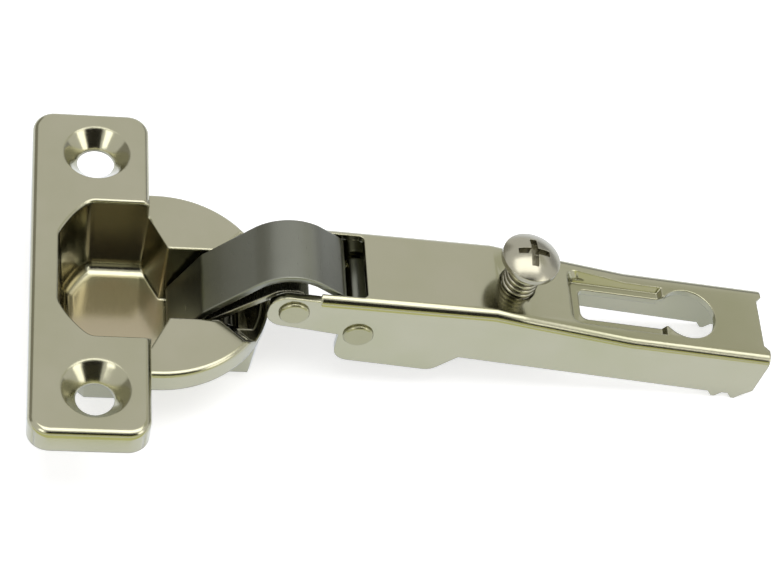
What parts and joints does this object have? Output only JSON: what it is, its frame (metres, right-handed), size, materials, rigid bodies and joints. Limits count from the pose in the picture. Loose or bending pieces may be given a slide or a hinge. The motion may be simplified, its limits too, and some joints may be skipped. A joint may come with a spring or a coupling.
{
  "type": "concealed cup hinge",
  "caption": "Concealed cabinet hinge: a 35 mm cup with screw flange, an arched link and a slide-on arm with keyhole slot, shown open; folds shut over the cup.",
  "frame": {"origin": "centre of the 35 mm cup on the door's inner surface", "axes": "+X from the cup towards the arm's rear end, +Y along the flange, +Z out of the door"},
  "size_m": [0.1167, 0.0614, 0.0264],
  "materials": {
    "nickel_sheet": "nickel-plated pressed steel, satin",
    "dark_sheet": "nickel-plated steel strip, brushed across",
    "bright_pin": "nickel-plated steel, satin",
    "bright_screw": "nickel-plated steel, glossy",
    "spring_steel": "oiled spring steel"
  },
  "bodies": {
    "cup": {"cup": "nickel_sheet", "outer_cup_pin": "bright_pin", "inner_cup_pin": "bright_pin", "closing_spring": "spring_steel"},
    "outer_link": {"outer_link": "dark_sheet"},
    "inner_link": {"inner_link": "dark_sheet"},
    "arm": {"arm": "nickel_sheet", "front_rivet": "bright_pin", "rear_rivet": "bright_pin"},
    "adjusting_screw": {"adjusting_screw": "bright_screw"}
  },
  "joints": [
    {"name": "fold", "type": "hinge", "parent": "cup", "child": "outer_link", "pos_m": [0.0044, 0, -0.0079], "axis": [0, -1, 0], "range_deg": [0, 77.12]},
    {"name": "arm_swing", "type": "hinge", "parent": "outer_link", "child": "arm", "pos_m": [0.03072, 0, -0.00019], "axis": [0, -1, 0], "range_deg": [0, 20.9]},
    {"name": "inner_swing", "type": "hinge", "parent": "cup", "child": "inner_link", "pos_m": [0.008, 0, -0.0036], "axis": [0, -1, 0], "range_deg": [0, 92.1]},
    {"name": "screw_turn", "type": "hinge", "parent": "arm", "child": "adjusting_screw", "pos_m": [0.05563, 0, 0.00596], "axis": [0.1357, 0, 0.9907], "continuous": true}
  ],
  "couplings": [
    {"joint": "arm_swing", "follows": "fold", "ratio": 0.27075},
    {"joint": "inner_swing", "follows": "fold", "ratio": 1.1936}
  ]
}
